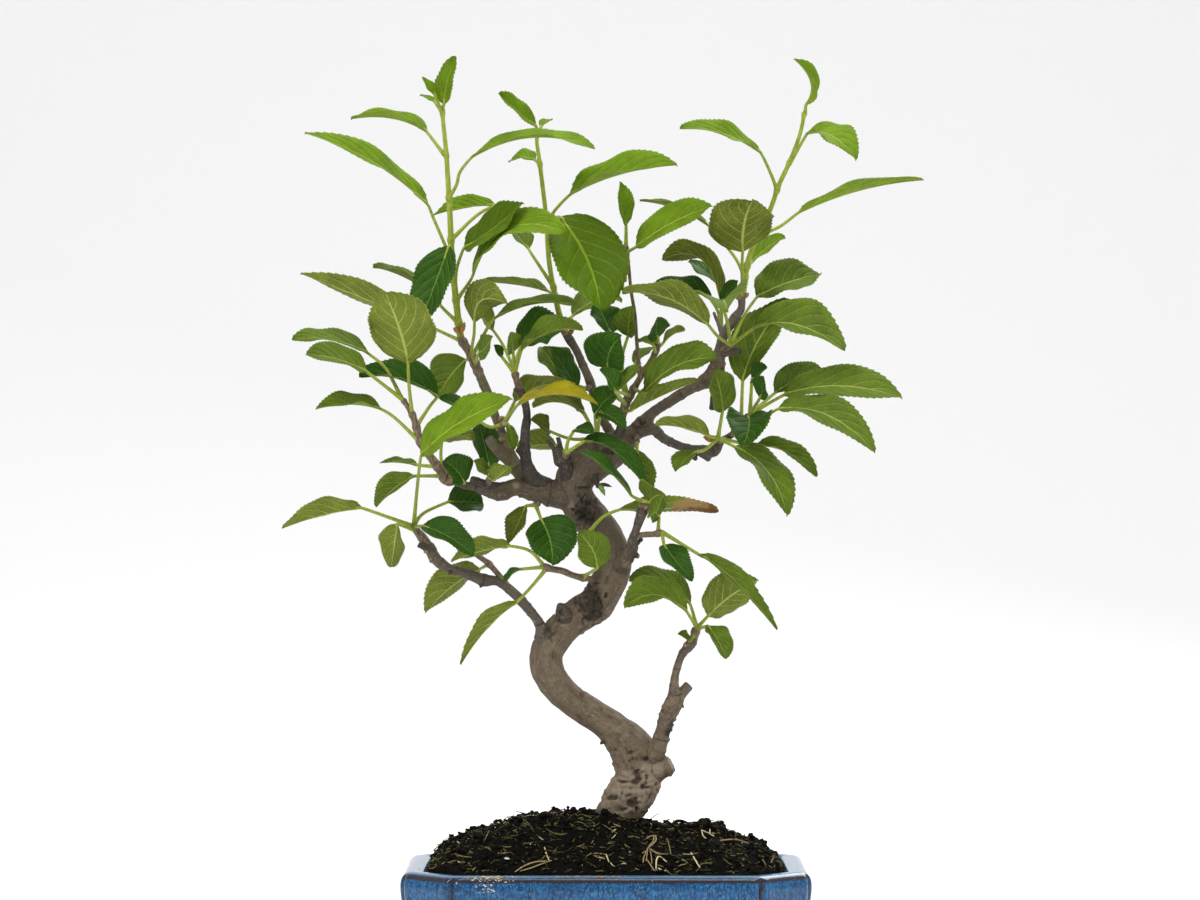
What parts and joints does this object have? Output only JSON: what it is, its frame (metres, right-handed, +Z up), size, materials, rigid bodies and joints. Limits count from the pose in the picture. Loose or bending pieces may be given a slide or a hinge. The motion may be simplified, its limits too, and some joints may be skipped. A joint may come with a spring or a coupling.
{
  "type": "crabapple bonsai",
  "caption": "Potted crabapple bonsai: a twisting trunk with short branches and serrated leaves on long shoots, in a mound of peat in a glazed, chamfered rectangular pot.",
  "frame": {"origin": "middle of the underside of the pot's feet, under the middle of the whole plant", "axes": "+Z up the trunk, X along the pot's long side, -Y towards the front"},
  "size_m": [0.3263, 0.1464, 0.4687],
  "materials": {
    "blue_glaze": "glossy mottled blue glaze, dark at the edges",
    "peat": "matt crumbly peat with dry moss",
    "bark": "rough grey-brown bark",
    "leaf": "satin mature leaf",
    "young_leaf": "soft light green young leaf"
  },
  "bodies": {
    "root": {"leader_shoot_centre": "young_leaf", "leader_shoot_left": "young_leaf", "leader_shoot_right": "young_leaf", "leaf_trunk_front": "leaf", "leaf_under_right_branch": "leaf", "pot": "blue_glaze", "soil": "peat", "spray_centre": "leaf", "spray_centre_left": "leaf", "spray_inner_spur": "leaf", "spray_left_inner": "leaf", "spray_left_inner_low": "leaf", "spray_left_low": "leaf", "spray_left_mid": "leaf", "spray_left_spur": "leaf", "spray_left_under": "leaf", "spray_low_right": "leaf", "spray_lower_mid": "leaf", "spray_lower_mid_tip": "leaf", "spray_right_back": "leaf", "spray_right_low": "leaf", "spray_right_mid": "leaf", "spray_right_top": "leaf", "spray_trunk_top": "leaf", "twig_left_low": "leaf", "twig_trunk_left": "leaf", "wood": "bark"}
  },
  "joints": []
}
